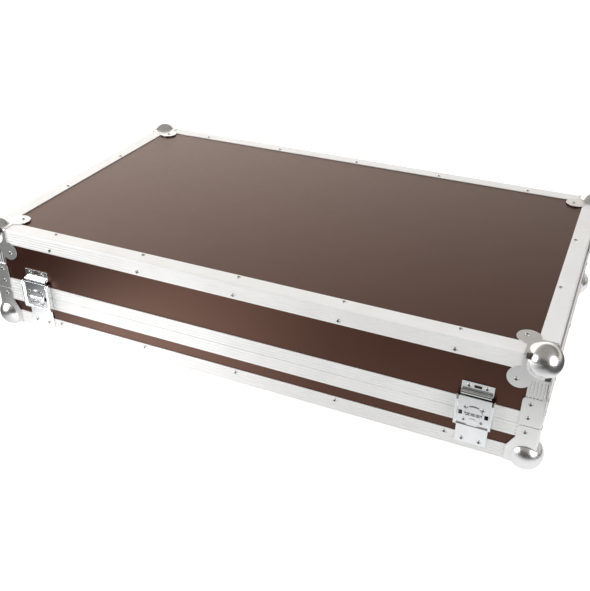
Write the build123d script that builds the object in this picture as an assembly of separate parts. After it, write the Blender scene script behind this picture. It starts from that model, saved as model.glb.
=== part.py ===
from build123d import *
import os
from math import cos, pi, radians, sin

# Keyboard flight case. Millimetres, +Z up, front face towards -Y, length along X.
# The origin is on the floor under the middle of the case, which stands on its four lower ball corners.

# Overall size, measured over the aluminium profiles
case_length = 1048.0
case_depth = 622.0
case_height = 206.0
parting_height = 76.0
parting_gap = 0.5

# Film-faced plywood panels and the aluminium angles that hold their edges
panel_thickness = 9.0
leg_width = 30.0
leg_thickness = 1.6
angle_radius = 3.0
mitre_gap = 0.1
angle_rib_count = 5
angle_rib_pitch = 5.2
angle_rib_start = 4.2
rib_width = 1.6
rib_depth = 0.65

# Tongue and groove closing profiles
band_height = 24.0
band_rib_count = 3
band_rib_pitch = 6.0
groove_depth = 5.5
groove_wall = 2.4
groove_inner_wall = 2.4
groove_draft = 0.5
web_thickness = 1.5
tongue_height = 4.5
tongue_outer_gap = 1.0
tongue_width = 4.4
tongue_draft = 0.8
inner_leg_thickness = 1.2
inner_leg_height = 16.0
edge_bevel = 0.6

# Ball corners and corner braces
ball_radius = 27.5
ball_inset = 14.0
corner_sheet = 1.5
corner_reach = 44.0
corner_leaf_radius = 19.0
corner_bend_radius = 4.0
tab_width = 33.5
tab_corner_radius = 7.0
tab_gap = 0.4
gusset_width = 46.0
gusset_low = 30.0
gusset_high = 52.0
brace_height = 53.0
corner_rivet_inset = 20.5
tab_rivet_drop = 12.0
brace_rivet_low = 16.0
brace_rivet_high = 42.0
leaf_rivet_inset = 48.0

# Foam lining
bed_thickness = 20.0
strip_thickness = 15.0
strip_below_parting = 8.0
lid_foam_thickness = 15.0

# Rivets
rivet_pitch = 190.0
rivet_line = 23.0
rivet_head_radius = 3.9
latch_rivet_radius = 3.2
rivet_head_height = 1.3
rivet_head_taper = 50.0
rivet_sides = 6

# Butterfly latches
latch_inset = 101.0
strap_width = 51.0
strap_thickness = 1.8
strap_low = 12.0
strap_bend_drop = 6.0
strap_bend_slope = 4.0
strap_top_inset = 4.0
strap_lift = 1.0
strap_rivet_height = 20.0
latch_rivet_spacing = 28.0
latch_rivet_rise = 24.5
latch_rise = 1.0
spacer_radius = 2.4
dish_drop = 26.6
dish_rise = 32.5
dish_floor = 7.8
dish_sheet = 1.4
dish_inner_width = 50.0
dish_rail_width = 5.0
dish_rail_sheet = 1.2
dish_proud = 13.0
dish_skirt_height = 8.0
dish_end_slope = 6.0
dish_bead_radius = 3.2
dish_bead_sink = 1.0
side_slot_inset = 1.5
side_slot_width = 6.0
side_slot_height = 8.0
hook_sheet = 1.5
hook_clearance = 0.3
hook_width = 48.0
hook_tail_width = 21.8
hook_tail_drop = 12.5
hook_neck_rise = 17.5
hook_travel = 11.0
hook_tilt = 10.5
hook_claw_thickness = 2.0
hook_claw_grip = 1.6
hook_claw_bevel = 0.5
hook_roll_radius = 3.6
hook_roll_sink = 0.6
hook_roll_clearance = 0.5
hook_crank_lag = 0.211
rotor_radius = 15.5
rotor_thickness = 1.5
rotor_shaft_radius = 8.0
shaft_clearance = 0.06
crank_plate_overlap = 1.2
crank_plate_thickness = 0.6
crank_pin_radius = 2.0
running_gap = 0.3
wing_width = 22.4
wing_length = 19.5
wing_thickness = 1.4
wing_corner_radius = 6.0
wing_rod_radius = 1.2
wing_rod_height = 0.5
wing_rod_clearance = 0.05
ear_width = 2.5
ear_half_height = 2.4
ear_rise = 2.3
keeper_sheet = 1.6
keeper_rise = 36.5
keeper_length = 18.5
keeper_rivet_inset = 6.5
keeper_ledge = 2.6
keeper_slot_width = 12.0
keeper_slot_height = 5.0

# Rear hinges, which stop the lid when their ears meet
hinge_inset = 194.0
hinge_width = 80.0
hinge_sheet = 2.0
hinge_pin_offset = 5.2
hinge_pin_radius = 2.0
hinge_pin_clearance = 0.05
knuckle_radius = 3.6
knuckle_count = 3
knuckle_length = 22.8
knuckle_gap = 0.3
knuckle_notch = 4.6
hinge_leaf_end = 1.5
hinge_rivet_inset = 13.0
stop_ear_width = 2.5
stop_ear_inner = 4.2
stop_ear_outer = 9.0
stop_ear_drop = 14.0
lid_opening = 95.0
stop_margin = 0.5

# Levels and lines that follow from the sizes above
stand = ball_radius - ball_inset
half_length = case_length / 2
half_depth = case_depth / 2
panel_inner = leg_thickness + panel_thickness
lining_line = panel_inner + inner_leg_thickness
parting = stand + parting_height
strap_bend = parting_height - band_height - strap_bend_drop
latch_centre = parting_height + latch_rise
dish_low = parting_height - dish_drop
dish_high = parting_height + dish_rise
hook_tail_low = parting_height - hook_tail_drop
hook_neck = parting_height + hook_neck_rise
keeper_low = parting_height + keeper_rise
keeper_high = keeper_low + keeper_length
keeper_rivet_height = keeper_high - keeper_rivet_inset
mid_plane = Plane.XY.offset(stand + case_height / 2)
crank_radius = hook_travel * cos(radians(hook_tilt)) / 2
hinge_level = parting_height + parting_gap / 2
latch_x = half_length - latch_inset
hinge_x = half_length - hinge_inset


def block(x, y, z):
    """A box between two corners, each axis given as a pair of limits."""
    size = [high - low for low, high in (x, y, z)]
    middle = [(low + high) / 2 for low, high in (x, y, z)]
    return Pos(*middle) * Box(*size)


def face_of(*points):
    """A flat face inside a closed run of straight lines."""
    return make_face(Polyline(*points, close=True))


def trim(shape, corner, *normals):
    """Cuts a shape at planes through one point and keeps what lies on the normals' side."""
    for normal in normals:
        shape = split(shape, bisect_by=Plane(origin=corner, z_dir=normal), keep=Keep.TOP)
    return shape


def four_corners(shape):
    """The shape at the front left corner and its mirror images at the other three."""
    front = [shape, mirror(shape, about=Plane.YZ)]
    return front + [mirror(piece, about=Plane.XZ) for piece in front]


def lifted_to_lid(shape):
    """The mirror image of a piece of the base at the top of the case."""
    return mirror(shape, about=mid_plane)


def save(node, *shapes):
    """Writes one sub-part as a STEP file that holds each of its solids."""
    solids = [solid for shape in shapes for solid in shape.solids()]
    export_step(solids[0] if len(solids) == 1 else Compound(solids), os.path.join("parts", node + ".step"))


def ribs(start, pitch, count, limit):
    """Points of the V grooves along a leg's outer face, as distances along it and depths into it."""
    points = []
    for index in range(count):
        at = start + index * pitch
        if at + rib_width / 2 < limit:
            points += [(at - rib_width / 2, 0), (at, rib_depth), (at + rib_width / 2, 0)]
    return points


def angle_section(ribbed_legs):
    """An angle profile with its corner at the origin and its legs along +X and +Y."""
    line = ribs(angle_rib_start, angle_rib_pitch, angle_rib_count, leg_width)
    upright = [(depth, along) for along, depth in line]
    flat = [(along, depth) for along, depth in reversed(line)] if ribbed_legs == 2 else []
    outline = (
        [(0, 0)] + upright + [(0, leg_width), (leg_thickness, leg_width), (leg_thickness, leg_thickness)]
        + [(leg_width, leg_thickness), (leg_width, 0)] + flat
    )
    section = face_of(*outline)
    corner = section.vertices().sort_by_distance((0, 0, 0))[0]
    return fillet(corner, angle_radius)


def long_angle():
    """The lower front edge angle, mitred to its neighbours at both ends."""
    start = Plane(origin=(-half_length, -half_depth, stand), x_dir=(0, 1, 0), z_dir=(1, 0, 0))
    bar = extrude(start * angle_section(1), case_length)
    bar = trim(bar, (mitre_gap - half_length, -half_depth, stand), (1, -1, 0), (1, 0, -1))
    return trim(bar, (half_length - mitre_gap, -half_depth, stand), (-1, -1, 0), (-1, 0, -1))


def short_angle():
    """The lower left edge angle."""
    start = Plane(origin=(-half_length, -half_depth, stand), x_dir=(1, 0, 0), z_dir=(0, -1, 0))
    bar = extrude(start * angle_section(1), -case_depth)
    bar = trim(bar, (-half_length, mitre_gap - half_depth, stand), (-1, 1, 0), (0, 1, -1))
    return trim(bar, (-half_length, half_depth - mitre_gap, stand), (-1, -1, 0), (0, -1, -1))


def corner_post(height):
    """The upright angle at the front left corner, from its mitre to the closing profile."""
    foot = Plane(origin=(-half_length, -half_depth, stand))
    post = extrude(foot * angle_section(2), height)
    return trim(post, (-half_length, -half_depth, stand + mitre_gap), (-1, 0, 1), (0, -1, 1))


def band_outer_face(sign):
    """Outer face points of a closing profile, from its free edge to the parting line."""
    line = ribs(band_height - band_rib_count * band_rib_pitch, band_rib_pitch, band_rib_count, band_height)
    line = [(depth, sign * (band_height - along)) for along, depth in line]
    return [(0, sign * band_height)] + line


def groove_section():
    """The base's closing profile: depth into the case, and height from the parting line."""
    web_top = -groove_depth
    web_low = web_top - web_thickness
    inner = lining_line - groove_inner_wall
    return face_of(
        *band_outer_face(-1),
        (0, -edge_bevel), (edge_bevel, 0), (groove_wall, 0),
        (groove_wall + groove_draft, web_top), (inner - groove_draft, web_top), (inner, 0),
        (lining_line, 0), (lining_line, -inner_leg_height), (panel_inner, -inner_leg_height),
        (panel_inner, web_low), (leg_thickness, web_low), (leg_thickness, -band_height),
    )


def tongue_section():
    """The lid's closing profile, whose tongue drops into the groove."""
    low = parting_gap
    web_top = low + web_thickness
    tongue = groove_wall + tongue_outer_gap
    return face_of(
        *band_outer_face(1),
        (0, low + edge_bevel), (edge_bevel, low), (tongue, low),
        (tongue + tongue_draft, -tongue_height), (tongue + tongue_width - tongue_draft, -tongue_height),
        (tongue + tongue_width, low), (lining_line, low), (lining_line, inner_leg_height),
        (panel_inner, inner_leg_height), (panel_inner, web_top), (leg_thickness, web_top),
        (leg_thickness, band_height),
    )


def long_closing_profile(section):
    """A closing profile along the front, mitred at both ends."""
    start = Plane(origin=(-half_length, -half_depth, parting), x_dir=(0, 1, 0), z_dir=(1, 0, 0))
    bar = extrude(start * section, case_length)
    bar = trim(bar, (mitre_gap - half_length, -half_depth, parting), (1, -1, 0))
    return trim(bar, (half_length - mitre_gap, -half_depth, parting), (-1, -1, 0))


def short_closing_profile(section):
    """A closing profile along the left end."""
    start = Plane(origin=(-half_length, -half_depth, parting), x_dir=(1, 0, 0), z_dir=(0, -1, 0))
    bar = extrude(start * section, -case_depth)
    bar = trim(bar, (-half_length, mitre_gap - half_depth, parting), (-1, 1, 0))
    return trim(bar, (-half_length, half_depth - mitre_gap, parting), (-1, -1, 0))


def panels(part, wall_low, wall_high, sheet_low):
    """The large sheet of the base or the lid and its four walls."""
    outer_x = half_length - leg_thickness
    outer_y = half_depth - leg_thickness
    inner_y = half_depth - panel_inner
    walls = (wall_low, wall_high)
    sheet_name = "bottom" if part == "base" else "top"
    sheet_z = (sheet_low, sheet_low + panel_thickness)
    save(f"{part}_{sheet_name}_panel", block((-outer_x, outer_x), (-outer_y, outer_y), sheet_z))
    front = block((-outer_x, outer_x), (-outer_y, panel_thickness - outer_y), walls)
    left = block((-outer_x, panel_thickness - outer_x), (-inner_y, inner_y), walls)
    save(f"{part}_front_panel", front)
    save(f"{part}_rear_panel", mirror(front, about=Plane.XZ))
    save(f"{part}_left_panel", left)
    save(f"{part}_right_panel", mirror(left, about=Plane.YZ))


def frame(part, profile_section, post_height):
    """The edge angles, corner posts and closing profiles of the base or the lid."""
    place = lifted_to_lid if part == "lid" else (lambda shape: shape)
    front = place(long_angle())
    left = place(short_angle())
    save(f"{part}_front_edge_angle", front)
    save(f"{part}_rear_edge_angle", mirror(front, about=Plane.XZ))
    save(f"{part}_left_edge_angle", left)
    save(f"{part}_right_edge_angle", mirror(left, about=Plane.YZ))
    save(f"{part}_corner_posts", *[place(post) for post in four_corners(corner_post(post_height))])
    front = long_closing_profile(profile_section)
    left = short_closing_profile(profile_section)
    save(f"{part}_front_closing_profile", front)
    save(f"{part}_rear_closing_profile", mirror(front, about=Plane.XZ))
    save(f"{part}_left_closing_profile", left)
    save(f"{part}_right_closing_profile", mirror(left, about=Plane.YZ))


def leaf_outline():
    """A square plate with a round leaf over its far corner, drawn from the corner of the case."""
    side = corner_reach + corner_sheet
    square = Pos(side / 2 - corner_sheet, side / 2 - corner_sheet) * Rectangle(side, side)
    return square + Pos(corner_reach, corner_reach) * Circle(corner_leaf_radius)


def tab_outline():
    """The upright plate of a lower ball corner: a tab up to the parting line with a gusset beside it."""
    top = parting_height - tab_gap
    plate = face_of(
        (-corner_sheet, -corner_sheet), (gusset_width, -corner_sheet), (gusset_width, gusset_low),
        (tab_width, gusset_high), (tab_width, top), (-corner_sheet, top),
    )
    shoulder = plate.vertices().sort_by_distance((tab_width, top, 0))[0]
    return fillet(shoulder, tab_corner_radius)


def corner_plates(side_outline):
    """Three plates over the case's corner, which lies at the origin with the case in the +X +Y +Z octant."""
    side = extrude(Plane(origin=(0, 0, 0), x_dir=(0, 1, 0), z_dir=(1, 0, 0)) * side_outline, -corner_sheet)
    front = extrude(Plane(origin=(0, 0, 0), x_dir=(1, 0, 0), z_dir=(0, -1, 0)) * side_outline, corner_sheet)
    under = extrude(leaf_outline(), -corner_sheet)
    plates = side + front + under
    bend = [edge for edge in plates.edges() if on_bend(edge)]
    return fillet(bend, corner_bend_radius)


def on_bend(edge):
    """Whether an edge runs along one of the three outer bends of the corner plates."""
    middle = edge.position_at(0.5)
    outside = [abs(value + corner_sheet) < 0.01 for value in (middle.X, middle.Y, middle.Z)]
    return sum(outside) == 2 and edge.length > ball_inset


def ball_corner(side_outline):
    """A pressed ball over the corner plates, open where the case's own corner sits in it."""
    centre = Pos(ball_inset, ball_inset, ball_inset)
    room = 4 * ball_radius
    inside = block((0, room), (0, room), (0, room))
    return corner_plates(side_outline) + (centre * Sphere(ball_radius) - inside)


def ball_corners(part, side_outline):
    """The four ball corners of the base or the lid."""
    first = Pos(-half_length, -half_depth, stand) * ball_corner(side_outline)
    first = lifted_to_lid(first) if part == "lid" else first
    save(f"{part}_ball_corners", *four_corners(first))


def corner_brace():
    """The angle plate that ties the lid's corner post to its closing profile."""
    low = parting + parting_gap + tab_gap
    reach = tab_width + corner_sheet
    plate = Pos(reach / 2 - corner_sheet, brace_height / 2) * Rectangle(reach, brace_height)
    shoulder = plate.vertices().sort_by_distance((tab_width, brace_height, 0))[0]
    plate = fillet(shoulder, tab_corner_radius)
    side = extrude(Plane(origin=(0, 0, 0), x_dir=(0, 1, 0), z_dir=(1, 0, 0)) * plate, -corner_sheet)
    front = extrude(Plane(origin=(0, 0, 0), x_dir=(1, 0, 0), z_dir=(0, -1, 0)) * plate, corner_sheet)
    brace = side + front
    brace = fillet([edge for edge in brace.edges() if on_bend(edge)], corner_bend_radius)
    return Pos(-half_length, -half_depth, low) * brace


def foam_lining():
    """The foam bed and strips of the base and the foam pad of the lid."""
    floor = stand + panel_inner
    x, y = half_length - lining_line, half_depth - lining_line
    inner_x, inner_y = x - strip_thickness, y - strip_thickness
    save("base_foam_bed", block((-inner_x, inner_x), (-inner_y, inner_y), (floor, floor + bed_thickness)))
    strip_z = (floor, parting - strip_below_parting)
    front = block((-x, x), (-y, strip_thickness - y), strip_z)
    left = block((-x, strip_thickness - x), (-inner_y, inner_y), strip_z)
    save("base_foam_strips", front, mirror(front, about=Plane.XZ), left, mirror(left, about=Plane.YZ))
    ceiling = stand + case_height - panel_inner
    save("lid_foam_pad", block((-x, x), (-y, y), (ceiling - lid_foam_thickness, ceiling)))


def rivet_head(radius=rivet_head_radius, height=rivet_head_height):
    """A low rivet head that stands on the XY plane, with its rim drawn in towards the top."""
    return extrude(RegularPolygon(radius, rivet_sides), height, taper=rivet_head_taper)


def rivet_on(point, outward):
    """A rivet head at a point, standing out along a direction."""
    return Plane(origin=point, z_dir=outward) * rivet_head()


def angle_rivets():
    """Rivets through both legs of the base's edge angles."""
    heads = []
    bottom = stand
    line = stand + rivet_line
    long_places = [index * rivet_pitch for index in range(-2, 3)]
    short_places = [-rivet_pitch / 2, rivet_pitch / 2]
    for side in (-1, 1):
        for x in long_places:
            heads.append(rivet_on((x, side * half_depth, line), (0, side, 0)))
            heads.append(rivet_on((x, side * (half_depth - rivet_line), bottom), (0, 0, -1)))
        for y in short_places:
            heads.append(rivet_on((side * half_length, y, line), (side, 0, 0)))
            heads.append(rivet_on((side * (half_length - rivet_line), y, bottom), (0, 0, -1)))
    return heads


def leaf_rivets():
    """Rivets through the flat leaf of the lower ball corners."""
    at = (leaf_rivet_inset - half_length, leaf_rivet_inset - half_depth, stand - corner_sheet)
    return four_corners(rivet_on(at, (0, 0, -1)))


def upright_rivets(along, level):
    """Rivets on the two upright plates of each corner fitting, at one height above the angles' underside."""
    z = stand + level
    front = rivet_on((along - half_length, -half_depth - corner_sheet, z), (0, -1, 0))
    side = rivet_on((-half_length - corner_sheet, along - half_depth, z), (-1, 0, 0))
    return four_corners(front) + four_corners(side)


def hinge_rivets(level):
    """The rivets of one leaf of each hinge."""
    heads = []
    for centre in (-hinge_x, hinge_x):
        for inset in (hinge_rivet_inset, 2 * hinge_rivet_inset):
            for side in (-1, 1):
                x = centre + side * (hinge_width / 2 - inset + stop_ear_width)
                heads.append(rivet_on((x, half_depth + hinge_sheet, stand + level), (0, 1, 0)))
    return heads


def at_latch(side, shape):
    """Moves a latch piece from its own frame to the front of the case, left for -1 and right for 1."""
    return Pos(side * latch_x, -half_depth, stand) * shape


def proud(distance):
    """Drawing plane parallel to the case's front, so far out from it: X along, Y up, normal outwards."""
    return Plane(origin=(0, -distance, 0), x_dir=(1, 0, 0), z_dir=(0, -1, 0))


side_view = Plane(origin=(0, 0, 0), x_dir=(0, -1, 0), z_dir=(-1, 0, 0))
strap_face = strap_lift + strap_thickness
hook_inner = strap_face + hook_clearance
dish_face = dish_floor + dish_sheet
dish_lip_depth = hook_inner + hook_sheet + hook_travel * sin(radians(hook_tilt)) + hook_clearance
rotor_low = dish_face + running_gap
rotor_face = rotor_low + rotor_thickness
wing_rod_axis = rotor_face + wing_rod_height
rivet_places = [
    (x, y)
    for x in (-latch_rivet_spacing / 2, latch_rivet_spacing / 2)
    for y in (latch_centre - latch_rivet_rise / 2, latch_centre + latch_rivet_rise / 2)
]


def latch_strap():
    """The cranked strap that carries the latch: flat on the lower angle, then clear of the lid's profile."""
    bend_end = strap_bend + strap_bend_slope
    top = dish_high - strap_top_inset
    side = face_of(
        (0, strap_low), (0, strap_bend), (strap_lift, bend_end), (strap_lift, top),
        (strap_face, top), (strap_face, bend_end), (strap_thickness, strap_bend),
        (strap_thickness, strap_low),
    )
    return extrude(side_view * side, strap_width / 2, both=True)


def latch_dish():
    """The pressed dish: a floor with a lip at its head, a beaded skirt at its foot and two rolled rails."""
    fold = dish_low + dish_skirt_height
    foot = dish_low + dish_sheet
    lip = dish_high - dish_sheet
    outline = [
        Line((dish_lip_depth, dish_high), (dish_face, dish_high)),
        Line((dish_face, dish_high), (dish_face, fold)),
        RadiusArc((dish_face, fold), (strap_face, dish_low), fold - dish_low, short_sagitta=True),
        Line((strap_face, dish_low), (strap_face, foot)),
        RadiusArc((strap_face, foot), (dish_floor, fold), foot - fold, short_sagitta=True),
        Line((dish_floor, fold), (dish_floor, lip)),
        Line((dish_floor, lip), (dish_lip_depth, lip)),
        Line((dish_lip_depth, lip), (dish_lip_depth, dish_high)),
    ]
    bead_height = fold - dish_bead_radius
    bead = Pos(dish_face - dish_bead_sink, bead_height) * Circle(dish_bead_radius)
    front_half = Rectangle(2 * dish_bead_radius, 2 * dish_bead_radius)
    bead &= Pos(dish_floor + dish_bead_radius, bead_height) * front_half
    floor = extrude(side_view * (make_face(outline) + bead), dish_inner_width / 2, both=True)
    holes = Pos(0, latch_centre) * Circle(rotor_shaft_radius + shaft_clearance)
    slot_x = (dish_inner_width - side_slot_width) / 2 - side_slot_inset
    for x in (-slot_x, slot_x):
        holes += Pos(x, latch_centre) * Rectangle(side_slot_width, side_slot_height)
    floor -= extrude(proud(dish_floor - 1) * holes, dish_sheet + 2)
    right = rolled_rail()
    return floor + right + mirror(right, about=Plane.YZ)


def rolled_rail():
    """The right rail: a sheet that rises from the floor, rolls over and comes back down to the profile."""
    inner = dish_inner_width / 2
    outer = inner + dish_rail_width
    roll = dish_rail_width / 2
    small = roll - dish_rail_sheet
    crown = dish_proud - roll
    mid = inner + roll
    inside = inner + dish_rail_sheet
    outside = outer - dish_rail_sheet
    outline = [
        Line((inner, -dish_floor), (inner, -crown)),
        ThreePointArc((inner, -crown), (mid, -dish_proud), (outer, -crown)),
        Line((outer, -crown), (outer, -strap_lift)),
        Line((outer, -strap_lift), (outside, -strap_lift)),
        Line((outside, -strap_lift), (outside, -crown)),
        ThreePointArc((outside, -crown), (mid, -crown - small), (inside, -crown)),
        Line((inside, -crown), (inside, -dish_floor)),
        Line((inside, -dish_floor), (inner, -dish_floor)),
    ]
    rail = extrude(Pos(0, 0, dish_low) * make_face(outline), dish_high - dish_low)
    side = Pos(dish_proud / 2, (dish_low + dish_high) / 2) * Rectangle(dish_proud, dish_high - dish_low)
    outer_corners = side.vertices().group_by(Axis.X)[-1]
    side = chamfer(outer_corners, dish_end_slope)
    return rail & (Pos(mid, 0, 0) * extrude(side_view * side, dish_rail_width, both=True))


def latch_rivets(side):
    """The strap's two rivets, and the four spacers and rivet heads that carry the dish."""
    pieces = []
    for x in (-latch_rivet_spacing / 2, latch_rivet_spacing / 2):
        head = Pos(x, strap_rivet_height) * rivet_head()
        pieces.append(at_latch(side, proud(strap_thickness) * head))
    for x, y in rivet_places:
        spacer = extrude(RegularPolygon(spacer_radius, rivet_sides), dish_floor - strap_face)
        pieces.append(at_latch(side, proud(strap_face) * (Pos(x, y) * spacer)))
        head = rivet_head(latch_rivet_radius, rotor_face - dish_face - 2 * running_gap)
        pieces.append(at_latch(side, proud(dish_face) * (Pos(x, y) * head)))
    return pieces


def latch_hook():
    """The sliding hook: a rolled head, a claw over the keeper's ledge, and a tail round the crank pin."""
    claw_low = keeper_low + keeper_sheet + hook_clearance
    claw_top = claw_low + hook_claw_thickness
    claw_end = keeper_ledge - hook_claw_grip
    outer = hook_inner + hook_sheet
    bend = hook_claw_thickness
    side = face_of(
        (hook_inner, hook_tail_low), (hook_inner, claw_low), (claw_end, claw_low),
        (claw_end, claw_top - hook_claw_bevel), (claw_end + hook_claw_bevel, claw_top),
        (outer - bend, claw_top), (outer, claw_top - bend), (outer, hook_tail_low),
    )
    roll_height = dish_high + hook_roll_clearance + hook_roll_radius
    roll = Pos(outer - hook_roll_sink, roll_height) * Circle(hook_roll_radius)
    front_half = Rectangle(2 * hook_roll_radius, 2 * hook_roll_radius)
    roll &= Pos(hook_inner + hook_roll_radius, roll_height) * front_half
    plate = extrude(side_view * (side + roll), hook_width / 2, both=True)
    cut_width = (hook_width - hook_tail_width) / 2
    cut_x = hook_tail_width / 2 + cut_width / 2
    cut_height = hook_neck - hook_tail_low
    waste = Pos(cut_x, hook_tail_low + cut_height / 2) * Rectangle(cut_width, cut_height)
    waste += mirror(waste, about=Plane.YZ)
    lag = hook_crank_lag * crank_radius
    pin = latch_centre - crank_radius
    slot_low = -crank_pin_radius - hook_clearance
    slot_high = crank_radius + crank_pin_radius + hook_clearance
    slot_height = 2 * (crank_pin_radius + lag + hook_clearance)
    waste += Pos((slot_low + slot_high) / 2, pin) * Rectangle(slot_high - slot_low, slot_height)
    return plate - extrude(proud(hook_inner - 1) * waste, hook_sheet + 2)


def latch_rotor():
    """The disc that the wing turns, with its shaft, its crank plate behind the dish and its crank pin."""
    plate_low = dish_floor - running_gap - crank_plate_thickness
    disc = extrude(proud(rotor_low) * (Pos(0, latch_centre) * Circle(rotor_radius)), rotor_thickness)
    shaft_length = rotor_low - plate_low
    shaft = extrude(proud(plate_low) * (Pos(0, latch_centre) * Circle(rotor_shaft_radius)), shaft_length)
    plate_width = 2 * (rotor_shaft_radius + crank_plate_overlap)
    plate_outline = Pos(0, latch_centre) * Rectangle(plate_width, 2 * rotor_shaft_radius)
    plate = extrude(proud(plate_low) * plate_outline, crank_plate_thickness)
    pin_circle = Pos(0, latch_centre - crank_radius) * Circle(crank_pin_radius)
    pin_low = strap_face + hook_clearance / 2
    pin = extrude(proud(pin_low) * pin_circle, plate_low - pin_low)
    ear_x = wing_width / 2 + running_gap + ear_width / 2
    ears = Pos(ear_x, latch_centre) * Rectangle(ear_width, 2 * ear_half_height)
    ears += Pos(-ear_x, latch_centre) * Rectangle(ear_width, 2 * ear_half_height)
    rotor = disc + shaft + plate + pin + extrude(proud(rotor_face) * ears, ear_rise)
    pocket_width = wing_width + 2 * running_gap
    pocket_height = 2 * (wing_rod_radius + running_gap)
    pocket_depth = wing_rod_radius + running_gap - wing_rod_height
    pocket = Pos(0, latch_centre) * Rectangle(pocket_width, pocket_height)
    rotor -= extrude(proud(rotor_face - pocket_depth) * pocket, pocket_depth + ear_rise)
    bore = Cylinder(wing_rod_radius + wing_rod_clearance, pocket_width + 2 * ear_width, rotation=(0, 90, 0))
    return rotor - Pos(0, -wing_rod_axis, latch_centre) * bore


def latch_wing():
    """The folding wing: a rod that turns in the disc's ears and a plate with round corners."""
    low = rotor_face + running_gap
    middle = latch_centre - wing_length / 2
    plate = Pos(0, middle) * Rectangle(wing_width, wing_length)
    plate = fillet(plate.vertices().group_by(Axis.Y)[0], wing_corner_radius)
    wing = extrude(proud(low) * plate, wing_thickness)
    rod = Cylinder(wing_rod_radius, wing_width + 2 * ear_width + running_gap, rotation=(0, 90, 0))
    return wing + Pos(0, -wing_rod_axis, latch_centre) * rod


def latch_keeper():
    """The keeper on the lid: a slotted plate on the panel with a ledge for the hook's claw."""
    panel_face = -leg_thickness
    outer = panel_face + keeper_sheet
    side = face_of(
        (panel_face, keeper_low), (panel_face, keeper_high), (outer, keeper_high),
        (outer, keeper_low + keeper_sheet), (keeper_ledge, keeper_low + keeper_sheet),
        (keeper_ledge, keeper_low),
    )
    plate = extrude(side_view * side, strap_width / 2, both=True)
    slot = Pos(0, keeper_rivet_height) * Rectangle(keeper_slot_width, keeper_slot_height)
    return plate - extrude(proud(panel_face - 1) * slot, keeper_sheet + 2)


def keeper_rivets(side):
    """The keeper's two rivets."""
    plane = proud(keeper_sheet - leg_thickness)
    places = (-latch_rivet_spacing / 2, latch_rivet_spacing / 2)
    return [at_latch(side, plane * (Pos(x, keeper_rivet_height) * rivet_head())) for x in places]


def at_hinge(side, shape):
    """Moves a hinge piece from its own frame, where it faces -Y, to the rear of the case."""
    return Pos(side * hinge_x, half_depth, stand) * Rot(0, 0, 180) * shape


def knuckle_rows():
    """Middle of each knuckle along the hinge, with whether the base's leaf carries it."""
    step = knuckle_length + knuckle_gap
    first = -step * (knuckle_count - 1) / 2
    return [(first + index * step, index % 2 == 0) for index in range(knuckle_count)]


def hinge_leaf(upward, on_base):
    """One leaf, built about the pin's level: a plate, its knuckles and a stop ear at each end."""
    turn = 1 if upward else -1
    far = band_height - hinge_leaf_end
    near = knuckle_notch
    plate = face_of(
        (-hinge_width / 2, turn * near), (hinge_width / 2, turn * near),
        (hinge_width / 2, turn * far), (-hinge_width / 2, turn * far),
    )
    leaf = extrude(proud(0) * plate, hinge_sheet)
    for x, base_knuckle in knuckle_rows():
        if base_knuckle == on_base:
            leaf += Pos(x, 0, 0) * hinge_knuckle(turn)
    ear_x = (hinge_width - stop_ear_width) / 2
    for x in (-ear_x, ear_x):
        leaf += Pos(x, 0, 0) * stop_ear(turn)
    bore = Cylinder(hinge_pin_radius + hinge_pin_clearance, hinge_width, rotation=(0, 90, 0))
    leaf -= Pos(0, -hinge_pin_offset, 0) * bore
    return Pos(0, 0, hinge_level) * leaf


def hinge_knuckle(turn):
    """A knuckle and the curl that joins it to its leaf."""
    curl = face_of(
        (0, turn * (knuckle_notch + 1)), (0, turn * knuckle_notch), (hinge_pin_offset, 0),
        (hinge_pin_offset + knuckle_radius * cos(pi / 4), turn * knuckle_radius * sin(pi / 4)),
        (hinge_sheet, turn * (knuckle_notch + 1)),
    )
    section = curl + Pos(hinge_pin_offset, 0) * Circle(knuckle_radius)
    return extrude(side_view * section, knuckle_length / 2, both=True)


def stop_ear(turn):
    """An ear square to the leaf. The lid's ears meet the base's when the lid is fully open."""
    angle = radians((180 - lid_opening - stop_margin) / 2)
    reach = [(hinge_pin_offset + radius * sin(radians(90) - (pi / 2 - angle)), radius * cos(angle))
             for radius in (stop_ear_inner, stop_ear_outer)]
    ear = face_of(
        (0, turn * knuckle_notch), (reach[0][0], turn * reach[0][1]), (reach[1][0], turn * reach[1][1]),
        (hinge_sheet, turn * stop_ear_drop), (0, turn * stop_ear_drop),
    )
    return extrude(side_view * ear, stop_ear_width / 2, both=True)


def hinge_pin():
    """The pin through the knuckles of one hinge."""
    length = knuckle_count * (knuckle_length + knuckle_gap)
    return Pos(0, -hinge_pin_offset, hinge_level) * Cylinder(hinge_pin_radius, length, rotation=(0, 90, 0))


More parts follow.
